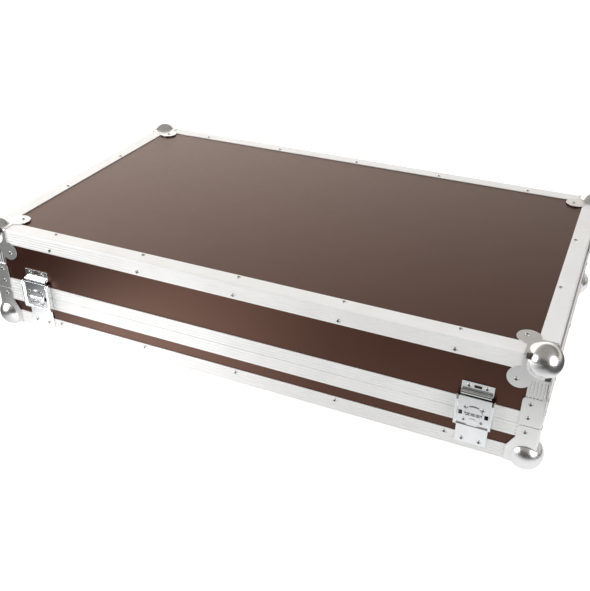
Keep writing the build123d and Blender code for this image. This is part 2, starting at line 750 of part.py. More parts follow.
def main():
    os.makedirs("parts", exist_ok=True)
    base_floor = stand + leg_thickness
    base_wall_top = parting - groove_depth - web_thickness
    lid_wall_low = parting + parting_gap + web_thickness
    lid_sheet = stand + case_height - panel_inner
    panels("base", base_floor + panel_thickness, base_wall_top, base_floor)
    panels("lid", lid_wall_low, lid_sheet, lid_sheet)
    frame("base", groove_section(), parting_height - band_height)
    frame("lid", tongue_section(), case_height - parting_height - band_height)
    ball_corners("base", tab_outline())
    ball_corners("lid", leaf_outline())
    save("lid_corner_braces", *four_corners(corner_brace()))
    foam_lining()
    sides = {"left": -1, "right": 1}
    for name, side in sides.items():
        save(f"latch_{name}_strap", at_latch(side, latch_strap()))
        save(f"latch_{name}_hook", at_latch(side, latch_hook()))
        save(f"latch_{name}_rotor", at_latch(side, latch_rotor()))
        save(f"latch_{name}_wing", at_latch(side, latch_wing()))
        save(f"latch_{name}_keeper", at_latch(side, latch_keeper()))
    save("latch_dishes", *[at_latch(side, latch_dish()) for side in sides.values()])
    save("hinge_base_leaves", *[at_hinge(side, hinge_leaf(False, True)) for side in sides.values()])
    save("hinge_lid_leaves", *[at_hinge(side, hinge_leaf(True, False)) for side in sides.values()])
    save("hinge_pins", *[at_hinge(side, hinge_pin()) for side in sides.values()])
    base_heads = angle_rivets() + leaf_rivets()
    base_heads += upright_rivets(corner_rivet_inset, parting_height - tab_rivet_drop)
    base_heads += hinge_rivets(parting_height - band_height / 2)
    base_heads += [rivet for side in sides.values() for rivet in latch_rivets(side)]
    save("base_rivets", *base_heads)
    leaf_level = case_height - leaf_rivet_inset
    lid_heads = [lifted_to_lid(head) for head in angle_rivets() + leaf_rivets()]
    lid_heads += upright_rivets(leaf_rivet_inset, leaf_level)
    lid_heads += upright_rivets(corner_rivet_inset, parting_height + brace_rivet_low)
    lid_heads += upright_rivets(corner_rivet_inset, parting_height + brace_rivet_high)
    lid_heads += hinge_rivets(parting_height + band_height / 2)
    lid_heads += [rivet for side in sides.values() for rivet in keeper_rivets(side)]
    save("lid_rivets", *lid_heads)


main()
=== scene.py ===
import math

import bmesh
import bpy
from mathutils import Matrix, Vector

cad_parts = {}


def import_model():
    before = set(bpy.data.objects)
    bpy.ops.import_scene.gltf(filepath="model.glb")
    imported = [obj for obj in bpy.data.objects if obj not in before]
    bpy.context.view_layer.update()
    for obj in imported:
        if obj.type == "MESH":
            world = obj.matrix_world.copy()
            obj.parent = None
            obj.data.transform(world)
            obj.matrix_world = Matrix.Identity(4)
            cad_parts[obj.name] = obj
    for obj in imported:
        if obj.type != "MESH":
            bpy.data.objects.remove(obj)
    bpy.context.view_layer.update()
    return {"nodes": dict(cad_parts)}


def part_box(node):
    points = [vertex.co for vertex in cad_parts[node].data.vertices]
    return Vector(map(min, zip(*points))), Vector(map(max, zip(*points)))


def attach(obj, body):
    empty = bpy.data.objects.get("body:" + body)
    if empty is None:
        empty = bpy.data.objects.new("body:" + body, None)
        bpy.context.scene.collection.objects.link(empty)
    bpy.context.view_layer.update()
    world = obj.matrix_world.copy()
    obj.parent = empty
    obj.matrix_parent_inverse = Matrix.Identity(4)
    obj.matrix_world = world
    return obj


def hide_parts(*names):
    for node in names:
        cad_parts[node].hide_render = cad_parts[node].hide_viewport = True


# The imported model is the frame: metres, +Z up, front of the case towards -Y
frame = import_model()
nodes = frame["nodes"]
scene = bpy.context.scene

# Places worked out from the frame
front_edge_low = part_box("base_front_edge_angle")[0]
right_edge_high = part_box("base_right_edge_angle")[1]
lid_edge_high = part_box("lid_front_edge_angle")[1]
half_length = right_edge_high[0]
half_depth = -front_edge_low[1]
underside = front_edge_low[2]
top_side = lid_edge_high[2]
case_centre = Vector((0, 0, (underside + top_side) / 2))

# Widths of the softened edges of CAD pieces, in metres; sharp edges are those over an angle in degrees
profile_edge = 0.00015
hardware_edge = 0.0002
brace_edge = 0.00025
sharp_edge_angle = 35

# Points nearer than this count as one, in metres
cad_weld = 0.000002
solid_weld = 0.000001
plate_weld = 0.00001
plate_cut = 0.0000001

# Pressed corner fittings, in metres from the case's own corner
ball_radius = 0.0275
ball_inset = 0.014
ball_centre = Vector((ball_inset, ball_inset, ball_inset))
ball_blend = 0.002
sheet = 0.0015
bend_radius = 0.004
leaf_reach = 0.044
leaf_radius = 0.019
tab_width = 0.0335
tab_top = 0.0756
tab_shoulder = 0.007
gusset_width = 0.046
gusset_low = 0.030
gusset_high = 0.052
notch_start = 0.0300
notch_end = 0.0400
notch_depth = 0.0080
notch_lip = 0.0008
bend_step = 0.001
press_step = 0.0015

# Faces of a fitting whose middle lies this little outside the ball still count as the ball
ball_margin = 0.0006

# Rounded rims of the fittings, in metres and degrees
rim_width = 0.0003
rim_angle = 60

# Board ends in the notches of the lid, dark as painted shade: how far they stand out, their bevel and their
# thickness
grain_rise = 0.0004
grain_bevel = 0.001
grain_depth = 0.001

# Rivets: pairs are shares of the head's radius and height, from the rim inwards; the rest is in metres.
# Solids of a rivet node that are thicker than the thickest head are spacers.
rivet_dome = [(1.00, 0.0), (1.00, 0.14), (0.97, 0.34), (0.89, 0.66), (0.79, 0.90), (0.69, 1.00)]
rivet_hollow = [(0.50, 0.99), (0.45, 0.86), (0.42, 0.30), (0.34, 0.12), (0.10, 0.16)]
rivet_segments = 20
thickest_head = 0.002
spacer_radius = 0.0024
spacer_chamfer = 0.0001

# Edges of turned pieces and of foam that are sharper than this stay sharp, in degrees
turned_edge_angle = 50
foam_edge_angle = 40

# Foam: rounding of the upper edges, spacing of the points, and the waves of the lid's pad
bed_rounding = 0.004
bed_step = 0.01
strip_rounding = 0.003
strip_step = 0.0025
pad_step = 0.005
wave_pitch = 0.03
wave_depth = 0.007

# Latch wings: three knuckles round the rod, and a raised oval as shares of its size with heights
wing_rod_radius = 0.0012
knuckle_radius = 0.0025
knuckle_flute = 0.0005
knuckle_reach = 0.0109
middle_knuckle_half = 0.0034
knuckle_gap = 0.0010
knuckle_segments = 28
oval_half_width = 0.0078
oval_half_height = 0.0046
oval_drop = 0.0005
oval_segments = 32
oval_levels = [(1.0, 0.0), (0.97, 0.00018), (0.88, 0.00032), (0.6, 0.0004), (0.2, 0.00042)]

# The room that metal mirrors: brightness of its sides, and where they change, as parts of a direction
room_front = 0.07
room_ceiling = 0.34
room_light = 0.42
wall_low = 1.32
wall_high = -0.30
wall_left = 1.12
wall_right = -0.47
wall_dimmest = 0.08
wall_colour = (1.0, 0.94, 0.87, 1)
wall_rise = (0.30, 0.55)
wall_run = (-0.6, 0.3)
wall_behind = (-0.2, 0.55)
ceiling_rise = (0.52, 0.68)

# The floor, painted dark to reflections, and the painted pool of light glowing on it: glow, shares of it,
# and where it changes, in metres
floor_size = 40
floor_glow = 0.7
floor_grey = (0.82, 0.82, 0.82, 1)
mirrored_floor_shade = (0.06, 0.06, 0.06, 1)
painted_pool_glow = 1.85
pool_right_share = 0.33
pool_end_share = 0.02
pool_far_share = 0.8
pool_near_share = 1.5
pool_front_share = 0.12
pool_left_rise = (-0.62, -0.30)
pool_right_fall = (-0.28, 0.20)
pool_right_end = (0.62, 0.75)
pool_nearness = (-0.56, -0.34)
pool_front_fall = (-0.15, 0.20)
pool_front_end = (-0.85, -0.62)

# The photograph's camera, fitted to points of the picture: degrees, metres, pixels, sensor in millimetres
camera_azimuth = 23.66
camera_elevation = 30.98
camera_roll = 0.54
camera_distance = 1.526
camera_target = Vector((0.0333, -0.126, 0.1035))
camera_sensor = 36
focal_pixels = 800.5
image_height_pixels = 591

# Noise seldom leaves these limits
noise_limits = (0.3, 0.7)

# Draw lines run along an extrusion, so its noise is stretched that way
draw_share = 0.02


# Tools for node trees


def feed(tree, source, socket):
    """Sets an input to a number or a colour, or links it to another node's output."""
    if isinstance(source, bpy.types.NodeSocket):
        tree.links.new(source, socket)
    else:
        socket.default_value = source


def compute(tree, operation, *values):
    """The result of a math node on numbers or outputs."""
    node = tree.nodes.new("ShaderNodeMath")
    node.operation = operation
    for index, value in enumerate(values):
        feed(tree, value, node.inputs[index])
    return node.outputs[0]


def mix(tree, factor, first, second, kind="FLOAT"):
    """Mixes two numbers, or two colours, by a factor."""
    node = tree.nodes.new("ShaderNodeMix")
    node.data_type = kind
    feed(tree, factor, node.inputs["Factor"])
    feed(tree, first, node.inputs["A"])
    feed(tree, second, node.inputs["B"])
    return node.outputs["Result"]


def remap(tree, value, low, high, between=noise_limits, way="LINEAR"):
    """Spreads a value that lies between two limits over low to high."""
    start, end = between
    node = tree.nodes.new("ShaderNodeMapRange")
    node.interpolation_type = way
    node.inputs["From Min"].default_value = start
    node.inputs["From Max"].default_value = end
    feed(tree, low, node.inputs["To Min"])
    feed(tree, high, node.inputs["To Max"])
    tree.links.new(value, node.inputs["Value"])
    return node.outputs["Result"]


def fade(tree, value, low, high, between):
    """Like remap, but with a soft start and end."""
    return remap(tree, value, low, high, between, "SMOOTHSTEP")


def coordinates(tree, kind):
    """The x, y and z outputs of a kind of texture coordinates."""
    source = tree.nodes.new("ShaderNodeTexCoord")
    split = tree.nodes.new("ShaderNodeSeparateXYZ")
    tree.links.new(source.outputs[kind], split.inputs[0])
    return split.outputs["X"], split.outputs["Y"], split.outputs["Z"]


def position(tree, stretch=(1, 1, 1)):
    """Object coordinates, scaled by a factor for each axis."""
    source = tree.nodes.new("ShaderNodeTexCoord")
    mapping = tree.nodes.new("ShaderNodeMapping")
    mapping.inputs["Scale"].default_value = stretch
    tree.links.new(source.outputs["Object"], mapping.inputs["Vector"])
    return mapping.outputs["Vector"]


def noise(tree, scale, detail, roughness=0.55, stretch=(1, 1, 1)):
    """Noise over the object, in cycles per metre times the stretch."""
    texture = tree.nodes.new("ShaderNodeTexNoise")
    texture.inputs["Scale"].default_value = scale
    texture.inputs["Detail"].default_value = detail
    texture.inputs["Roughness"].default_value = roughness
    tree.links.new(position(tree, stretch), texture.inputs["Vector"])
    return texture.outputs["Fac"]


def new_material(name):
    """A new material, its node tree and its shader."""
    material = bpy.data.materials.new(name)
    material.use_nodes = True
    tree = material.node_tree
    return material, tree, tree.nodes["Principled BSDF"]


def cloud_colour(tree, shader, pattern, dark, light):
    """Colours a surface between two colours by a noise pattern."""
    colour = mix(tree, remap(tree, pattern, 0, 1), (*dark, 1), (*light, 1), "RGBA")
    tree.links.new(colour, shader.inputs["Base Color"])


def bump(tree, shader, height, distance, strength):
    """Bump from a height between 0 and 1, which stands for a distance in metres."""
    node = tree.nodes.new("ShaderNodeBump")
    node.inputs["Strength"].default_value = strength
    node.inputs["Distance"].default_value = distance
    tree.links.new(height, node.inputs["Height"])
    tree.links.new(node.outputs["Normal"], shader.inputs["Normal"])


# Materials


def film_material():
    """Phenolic film on plywood: dark brown and satin, with a fine grain and soft cloudiness."""
    material, tree, shader = new_material("brown_film")
    cloud = noise(tree, scale=9, detail=3)
    cloud_colour(tree, shader, cloud, dark=(0.022, 0.0054, 0.0039), light=(0.029, 0.0074, 0.0053))
    shine = noise(tree, scale=60, detail=5)
    tree.links.new(remap(tree, shine, low=0.345, high=0.375), shader.inputs["Roughness"])
    shader.inputs["Specular IOR Level"].default_value = 0.9
    shader.inputs["Specular Tint"].default_value = (1.0, 0.54, 0.37, 1)
    grain = noise(tree, scale=900, detail=2, roughness=0.4)
    bump(tree, shader, grain, distance=0.00004, strength=0.5)
    return material


def aluminium_material(name, stretch, metallic=0.2, roughness=0.40, relief=0.5):
    """Satin anodised extrusion, with fine draw lines along its length and faint cloudiness."""
    material, tree, shader = new_material(name)
    lines = noise(tree, scale=700, detail=3, stretch=stretch)
    cloud = noise(tree, scale=14, detail=4)
    cloud_colour(tree, shader, cloud, dark=(0.85, 0.845, 0.83), light=(0.91, 0.908, 0.90))
    shader.inputs["Metallic"].default_value = metallic
    play = 0.06
    shine = remap(tree, lines, low=roughness - play, high=roughness + play)
    tree.links.new(shine, shader.inputs["Roughness"])
    bump(tree, shader, lines, distance=0.00002, strength=relief)
    return material


def steel_material(name, dark, light, smooth, rough, metallic=1.0):
    """Zinc plating or steel: cool grey metal with faint cloudiness and fine wear."""
    material, tree, shader = new_material(name)
    cloud = noise(tree, scale=40, detail=5)
    cloud_colour(tree, shader, cloud, dark, light)
    shader.inputs["Metallic"].default_value = metallic
    wear = noise(tree, scale=350, detail=4)
    tree.links.new(remap(tree, wear, smooth, rough), shader.inputs["Roughness"])
    bump(tree, shader, wear, distance=0.000002, strength=0.1)
    return material


def bore_shade_material():
    """The hollow of a blind rivet, coloured dark as painted shade for the depth of its mandrel hole."""
    material, tree, shader = new_material("rivet_bore_shade")
    bore_mottle = noise(tree, scale=900, detail=3)
    cloud_colour(tree, shader, bore_mottle, dark=(0.050, 0.046, 0.042), light=(0.11, 0.10, 0.09))
    shader.inputs["Roughness"].default_value = 0.7
    bump(tree, shader, bore_mottle, distance=0.0001, strength=0.5)
    return material


def shaded_board_material():
    """Plywood edge with its veneers as faint layers, coloured dark as painted shade for the deep notches it
    fills.
    """
    material, tree, shader = new_material("board_edge_painted_shade")
    layers = noise(tree, scale=500, detail=2, stretch=(0.2, 0.2, 3))
    cloud_colour(tree, shader, layers, dark=(0.050, 0.042, 0.036), light=(0.11, 0.095, 0.082))
    shader.inputs["Roughness"].default_value = 0.8
    bump(tree, shader, layers, distance=0.0002, strength=0.6)
    return material


def foam_material():
    """Charcoal polyether foam with open cells."""
    material, tree, shader = new_material("charcoal_foam")
    cloud = noise(tree, scale=25, detail=4)
    cloud_colour(tree, shader, cloud, dark=(0.022, 0.022, 0.024), light=(0.036, 0.036, 0.038))
    shader.inputs["Roughness"].default_value = 0.95
    shader.inputs["Specular IOR Level"].default_value = 0.2
    cells = tree.nodes.new("ShaderNodeTexVoronoi")
    cells.inputs["Scale"].default_value = 700
    tree.links.new(position(tree), cells.inputs["Vector"])
    bump(tree, shader, cells.outputs["Distance"], distance=0.0006, strength=0.8)
    return material


film = film_material()
along_x = aluminium_material("aluminium_along_x", stretch=(draw_share, 1, 1))
along_y = aluminium_material("aluminium_along_y", stretch=(1, draw_share, 1))
along_z = aluminium_material(
    "aluminium_along_z", stretch=(1, 1, draw_share), metallic=1.0, roughness=0.27, relief=0.2)
corner_steel = steel_material(
    "corner_plating", dark=(0.82, 0.82, 0.815), light=(0.88, 0.88, 0.875), smooth=0.28, rough=0.33,
    metallic=0.85)
ball_steel = steel_material(
    "ball_plating", dark=(0.80, 0.80, 0.805), light=(0.88, 0.88, 0.885), smooth=0.26, rough=0.30)
latch_steel = steel_material(
    "latch_plating", dark=(0.80, 0.82, 0.83), light=(0.88, 0.90, 0.91), smooth=0.16, rough=0.21)
rivet_steel = steel_material(
    "rivet_steel", dark=(0.62, 0.61, 0.60), light=(0.78, 0.77, 0.76), smooth=0.20, rough=0.28,
    metallic=0.8)
rivet_bore_shade = bore_shade_material()
foam = foam_material()
shaded_board_end = shaded_board_material()


# Tools for pieces


def link(name, data):
    """An object for a mesh, a lamp or a camera, in the scene."""
    obj = bpy.data.objects.new(name, data)
    scene.collection.objects.link(obj)
    return obj


def paint(obj, *materials):
    """Gives an object these materials; clearing old ones also sends every face to the first slot."""
    if len(obj.data.materials):
        obj.data.materials.clear()
    for material in materials:
        obj.data.materials.append(material)


def new_piece(name, shape, *materials):
    """A painted piece in the scene from a bmesh, which is freed."""
    mesh = bpy.data.meshes.new(name)
    shape.to_mesh(mesh)
    shape.free()
    obj = link(name, mesh)
    paint(obj, *materials)
    return obj


def smooth_shading(mesh):
    """Shades all faces of a mesh smooth."""
    mesh.polygons.foreach_set("use_smooth", [True] * len(mesh.polygons))


def keep_sharp(mesh, angle):
    """Keeps the edges of a mesh that are sharper than an angle in degrees sharp."""
    mesh.set_sharp_from_angle(angle=math.radians(angle))


def weighted_normals(obj):
    """Lets large flat faces lead the shading of the rounded edges beside them."""
    normals = obj.modifiers.new("normals", "WEIGHTED_NORMAL")
    normals.keep_sharp = False


# CAD pieces that stay in view


def soften(obj, width):
    """Rounds a CAD piece's sharp edges a little, so that they catch the light."""
    weld = obj.modifiers.new("weld", "WELD")
    weld.merge_threshold = cad_weld
    bevel = obj.modifiers.new("bevel", "BEVEL")
    bevel.width = width
    bevel.segments = 2
    bevel.limit_method = "ANGLE"
    bevel.angle_limit = math.radians(sharp_edge_angle)
    bevel.use_clamp_overlap = False
    weighted_normals(obj)


def dress_nodes():
    """Materials and softened edges for the CAD pieces that stay in view."""
    for name, obj in nodes.items():
        if name.endswith("_panel"):
            paint(obj, film)
        elif "foam" in name or "ball_corners" in name or "rivets" in name:
            continue
        elif name.startswith("latch"):
            paint(obj, latch_steel)
            soften(obj, hardware_edge)
        elif name.startswith("hinge"):
            paint(obj, corner_steel)
            soften(obj, hardware_edge)
        elif "brace" in name:
            paint(obj, corner_steel)
            soften(obj, brace_edge)
        elif "posts" in name:
            paint(obj, along_z)
            soften(obj, profile_edge)
        else:
            paint(obj, along_y if "left" in name or "right" in name else along_x)
            soften(obj, profile_edge)


# Corner fittings


def arc(centre, radius, start, end, count):
    """Points on an arc, angles in degrees."""
    points = []
    for index in range(count + 1):
        angle = math.radians(start + (end - start) * index / count)
        points.append((centre[0] + radius * math.cos(angle), centre[1] + radius * math.sin(angle)))
    return points


def leaf_outline():
    """The square plate with a round leaf over its far corner."""
    lobe = arc((leaf_reach, leaf_reach), leaf_radius, start=-90, end=180, count=36)
    return [(-sheet, -sheet), (leaf_reach, -sheet)] + lobe + [(-sheet, leaf_reach)]


def tab_outline():
    """The lower corner's upright plate: a tab up to the parting line, with a gusset beside it."""
    middle = (tab_width - tab_shoulder, tab_top - tab_shoulder)
    shoulder = arc(middle, tab_shoulder, start=0, end=90, count=8)
    gusset = [(gusset_width, -sheet), (gusset_width, gusset_low), (tab_width, gusset_high)]
    return [(-sheet, -sheet)] + gusset + shoulder + [(-sheet, tab_top)]


def cut_lines():
    """Where the plates are divided: at the notches, fine over the bend and even over the ball."""
    notch_lines = [notch_depth, notch_start, notch_end, notch_lip]
    lines = list(notch_lines)
    at = -sheet + bend_step
    while at < gusset_width + press_step:
        if min(abs(at - line) for line in notch_lines) > bend_step / 3:
            lines.append(at)
        at += bend_step if at < bend_radius else press_step
    return lines


def press(point):
    """Bends a point of the plates round the case's edges and draws it out over the ball."""
    start = -sheet + bend_radius
    core = Vector([max(value, start) for value in point])
    bent = core + (point - core).normalized() * bend_radius
    away = bent - ball_centre
    distance = away.length
    # A smooth maximum, so that the plates run into the ball without a crease
    nearness = max(ball_blend - abs(distance - ball_radius), 0) / ball_blend
    drawn = max(distance, ball_radius) + nearness * nearness * ball_blend / 4
    return ball_centre + away * (drawn / distance)


def in_notch(point):
    """Whether a point of the flat plates is in a relief notch, which opens each edge beside the ball."""
    plate = min(range(3), key=lambda axis: point[axis])
    depth = notch_lip if plate == 2 else notch_depth
    for along in range(3):
        across = 3 - plate - along
        if along != plate and notch_start < point[along] < notch_end and point[across] < depth:
            return True
    return False


def divide(shape):
    """Cuts the plates of a fitting along each axis, so that they can be bent."""
    for axis in range(3):
        normal = Vector([1 if index == axis else 0 for index in range(3)])
        for line in cut_lines():
            parts = shape.verts[:] + shape.edges[:] + shape.faces[:]
            point = normal * line
            bmesh.ops.bisect_plane(shape, geom=parts, plane_co=point, plane_no=normal, dist=plate_cut)
    bmesh.ops.remove_doubles(shape, verts=shape.verts, dist=plate_weld)


def pressed_corner(side_outline, notched):
    """One corner fitting at the origin: three plates on the case's faces, pressed into a ball."""
    shape = bmesh.new()
    plates = [
        [Vector((x, y, -sheet)) for x, y in reversed(leaf_outline())],
        [Vector((x, -sheet, z)) for x, z in side_outline],
        [Vector((-sheet, y, z)) for y, z in reversed(side_outline)],
    ]
    for points in plates:
        shape.faces.new([shape.verts.new(point) for point in points])
    divide(shape)
    cut = [face for face in shape.faces if notched and in_notch(face.calc_center_median())]
    bmesh.ops.delete(shape, geom=cut, context="FACES")
    for vert in shape.verts:
        vert.co = press(vert.co)
    for face in shape.faces:
        distance = (face.calc_center_median() - ball_centre).length
        face.material_index = 1 if distance < ball_radius + ball_margin else 0
    return shape


def placed_copies(source, lid):
    """The fitting at the four corners of the base or the lid."""
    target = bmesh.new()
    carrier = bpy.data.meshes.new("corner_copy")
    level = top_side if lid else underside
    up = -1 if lid else 1
    for side_x in (-1, 1):
        for side_y in (-1, 1):
            scale = Matrix.Diagonal((-side_x, -side_y, up, 1))
            move = Matrix.Translation((side_x * half_length, side_y * half_depth, level))
            copy = source.copy()
            copy.transform(move @ scale)
            if scale.determinant() < 0:
                bmesh.ops.reverse_faces(copy, faces=copy.faces)
            copy.to_mesh(carrier)
            copy.free()
            target.from_mesh(carrier)
    bpy.data.meshes.remove(carrier)
    return target


def corner_fittings():
    """The pressed ball corners of the base and the lid."""
    for part, outline in (("base", tab_outline()), ("lid", leaf_outline())):
        source = pressed_corner(outline, notched=part == "lid")
        joined = placed_copies(source, lid=part == "lid")
        source.free()
        obj = new_piece(f"{part}_corner_fittings", joined, corner_steel, ball_steel)
        smooth_shading(obj.data)
        shell = obj.modifiers.new("sheet", "SOLIDIFY")
        shell.thickness = sheet
        shell.offset = -1
        rim = obj.modifiers.new("rim", "BEVEL")
        rim.width = rim_width
        rim.segments = 2
        rim.angle_limit = math.radians(rim_angle)
        weighted_normals(obj)
        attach(obj, part)
        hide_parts(f"{part}_ball_corners")


# Board ends in the notches, dark as painted shade


def grain_outline():
    """The board end's L shaped section round an edge of the case, its corner bevelled."""
    near = -grain_rise
    return [
        (near, notch_depth),
        (near, near + grain_bevel),
        (near + grain_bevel, near),
        (notch_depth, near),
        (notch_depth, near + grain_depth),
        (grain_depth, grain_depth),
        (near + grain_depth, notch_depth),
    ]


def grain_bar(shape, corner, inward, axis):
    """Adds the board end in a notch: the section drawn out along one edge of the case."""
    first, second = [index for index in range(3) if index != axis]
    ends = []
    for along in (notch_start, notch_end):
        ring = []
        for across, down in grain_outline():
            point = Vector(corner)
            point[axis] += along * inward[axis]
            point[first] += across * inward[first]
            point[second] += down * inward[second]
            ring.append(shape.verts.new(point))
        ends.append(ring)
    start, end = ends
    count = len(start)
    for index in range(count):
        after = (index + 1) % count
        shape.faces.new([start[index], start[after], end[after], end[index]])
    shape.faces.new(start)
    shape.faces.new(list(reversed(end)))
    bmesh.ops.recalc_face_normals(shape, faces=shape.faces)


def end_grain():
    """The board that shows through the lid's notches, where the profiles are cut back for the ball; its
    dark colour is painted shade.
    """
    shape = bmesh.new()
    for side_x in (-1, 1):
        for side_y in (-1, 1):
            corner = Vector((side_x * half_length, side_y * half_depth, top_side))
            inward = Vector((-side_x, -side_y, -1))
            for axis in range(3):
                grain_bar(shape, corner, inward, axis)
    obj = new_piece("lid_end_grain_painted_shade", shape, shaded_board_end)
    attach(obj, "lid")


# Rivets


def joined_points(first, seen):
    """Places of all vertices that hang together with a first one, which are added to those seen."""
    points = []
    waiting = [first]
    seen.add(first.index)
    while waiting:
        vert = waiting.pop()
        points.append(vert.co.copy())
        for edge in vert.link_edges:
            other = edge.other_vert(vert)
            if other.index not in seen:
                seen.add(other.index)
                waiting.append(other)
    return points


def islands(obj):
    """Lowest and highest corners of each separate solid of a CAD node."""
    shape = bmesh.new()
    shape.from_mesh(obj.data)
    bmesh.ops.remove_doubles(shape, verts=shape.verts, dist=solid_weld)
    shape.verts.ensure_lookup_table()
    seen = set()
    boxes = []
    for first in shape.verts:
        if first.index in seen:
            continue
        points = joined_points(first, seen)
        low = Vector([min(point[axis] for point in points) for axis in range(3)])
        high = Vector([max(point[axis] for point in points) for axis in range(3)])
        boxes.append((low, high))
    shape.free()
    return boxes


def skin(shape, rings, inner_from=None):
    """Joins rings of vertices, closes both ends and gives the cap of the last ring.

    Faces from the ring inner_from on take the second material.
    """
    count = len(rings[0])
    for level in range(len(rings) - 1):
        lower, upper = rings[level], rings[level + 1]
        for index in range(count):
            after = (index + 1) % count
            face = shape.faces.new([lower[index], lower[after], upper[after], upper[index]])
            face.smooth = True
            face.material_index = 1 if inner_from is not None and level >= inner_from else 0
    cap = shape.faces.new(rings[-1])
    cap.material_index = 1 if inner_from is not None else 0
    shape.faces.new(list(reversed(rings[0])))
    return cap


def revolve(shape, profile, place, segments, inner_from=None):
    """Adds a turned form: radius and height pairs from the rim to the middle, stood on a place matrix."""
    rings = []
    for radius, height in profile:
        ring = []
        for index in range(segments):
            angle = 2 * math.pi * index / segments
            point = Vector((radius * math.cos(angle), radius * math.sin(angle), height))
            ring.append(shape.verts.new(place @ point))
        rings.append(ring)
    skin(shape, rings, inner_from)


def facing(direction, foot):
    """A matrix that stands a turned form on a point, along a direction."""
    turn = Vector((0, 0, 1)).rotation_difference(direction).to_matrix().to_4x4()
    return Matrix.Translation(foot) @ turn


def add_spacer(shape, foot, length):
    """Adds the spacer that carries a latch's dish, standing out to the front."""
    profile = [
        (spacer_radius, 0),
        (spacer_radius, length - spacer_chamfer),
        (spacer_radius - spacer_chamfer, length),
    ]
    revolve(shape, profile, facing(Vector((0, -1, 0)), foot), rivet_segments)


def add_head(shape, middle, size, axis):
    """Adds a blind rivet's domed flange, with the hollow left by its mandrel, facing away from the case."""
    outward = Vector((0, 0, 0))
    outward[axis] = 1 if middle[axis] > case_centre[axis] else -1
    foot = middle - outward * size[axis] / 2
    radius = max(size) / 2
    profile = [(radius * across, size[axis] * up) for across, up in rivet_dome + rivet_hollow]
    revolve(shape, profile, facing(outward, foot), rivet_segments, inner_from=len(rivet_dome))


def rivets(part):
    """Domed rivets in the places of a rivet node's solids, and spacers where they are long."""
    shape = bmesh.new()
    for low, high in islands(nodes[f"{part}_rivets"]):
        size = high - low
        middle = (low + high) / 2
        thin = min(range(3), key=lambda axis: size[axis])
        if size[thin] > thickest_head:
            add_spacer(shape, Vector((middle.x, high.y, middle.z)), size.y)
        else:
            add_head(shape, middle, size, thin)
    obj = new_piece(f"{part}_rivet_heads", shape, rivet_steel, rivet_bore_shade)
    keep_sharp(obj.data, turned_edge_angle)
    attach(obj, part)
    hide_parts(f"{part}_rivets")


# Foam


def slab(shape, low, high, step, height):
    """Adds a closed foam slab whose upper side is drawn by a height function of x and y."""
    count_x = max(2, round((high.x - low.x) / step))
    count_y = max(2, round((high.y - low.y) / step))
    upper = []
    lower = []
    for i in range(count_x + 1):
        x = low.x + (high.x - low.x) * i / count_x
        upper_row = []
        lower_row = []
        for j in range(count_y + 1):
            y = low.y + (high.y - low.y) * j / count_y
            upper_row.append(shape.verts.new((x, y, height(x, y))))
            lower_row.append(shape.verts.new((x, y, low.z)))
        upper.append(upper_row)
        lower.append(lower_row)
    for i in range(count_x):
        for j in range(count_y):
            shape.faces.new([upper[i][j], upper[i + 1][j], upper[i + 1][j + 1], upper[i][j + 1]])
            shape.faces.new([lower[i][j], lower[i][j + 1], lower[i + 1][j + 1], lower[i + 1][j]])
    for i in range(count_x):
        shape.faces.new([lower[i][0], lower[i + 1][0], upper[i + 1][0], upper[i][0]])
        shape.faces.new([upper[i][-1], upper[i + 1][-1], lower[i + 1][-1], lower[i][-1]])
    for j in range(count_y):
        shape.faces.new([upper[0][j], upper[0][j + 1], lower[0][j + 1], lower[0][j]])
        shape.faces.new([lower[-1][j], lower[-1][j + 1], upper[-1][j + 1], upper[-1][j]])


def rounded_top(low, high, radius):
    """A height function for a block with rounded upper edges."""
    def height(x, y):
        side = min(x - low.x, high.x - x, y - low.y, high.y - y)
        if side >= radius:
            return high.z
        return high.z - radius + math.sqrt(max(0.0, radius * radius - (radius - side) ** 2))

    return height


def foam_piece(name, node, body, shape):
    """A foam piece that stands for a CAD node."""
    obj = new_piece(name, shape, foam)
    smooth_shading(obj.data)
    keep_sharp(obj.data, foam_edge_angle)
    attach(obj, body)
    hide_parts(node)


def foam_bed():
    """The bed of the base, softly rounded at its edges."""
    low, high = [Vector(corner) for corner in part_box("base_foam_bed")]
    shape = bmesh.new()
    slab(shape, low, high, bed_step, rounded_top(low, high, bed_rounding))
    foam_piece("foam_bed", "base_foam_bed", "base", shape)


def foam_strips():
    """The strips along the walls of the base, with rounded top edges."""
    shape = bmesh.new()
    for low, high in islands(nodes["base_foam_strips"]):
        slab(shape, low, high, strip_step, rounded_top(low, high, strip_rounding))
    foam_piece("foam_strips", "base_foam_strips", "base", shape)


def lid_foam():
    """The convoluted pad under the lid, its peaks down."""
    low, high = [Vector(corner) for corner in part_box("lid_foam_pad")]

    def depth(x, y):
        across = math.cos(2 * math.pi * x / wave_pitch)
        along = math.cos(2 * math.pi * y / wave_pitch)
        peak = (across * along + 1) / 2
        return low.z + wave_depth * (1 - peak)

    shape = bmesh.new()
    slab(shape, Vector((low.x, low.y, high.z)), high, pad_step, depth)
    bmesh.ops.reverse_faces(shape, faces=shape.faces)
    foam_piece("lid_foam", "lid_foam_pad", "lid", shape)


# Latch wings


def wing_pads():
    """The bare raised oval on each latch wing."""
    for side in ("left", "right"):
        low, high = [Vector(corner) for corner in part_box(f"latch_{side}_wing")]
        middle = (low + high) / 2
        shape = bmesh.new()
        rings = []
        for share, height in oval_levels:
            ring = []
            for index in range(oval_segments):
                angle = 2 * math.pi * index / oval_segments
                x = middle.x + oval_half_width * share * math.cos(angle)
                z = middle.z - oval_drop + oval_half_height * share * math.sin(angle)
                ring.append(shape.verts.new((x, low.y - height, z)))
            rings.append(ring)
        skin(shape, rings).smooth = True
        obj = new_piece(f"latch_{side}_wing_pad", shape, latch_steel)
        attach(obj, f"latch_{side}_wing")


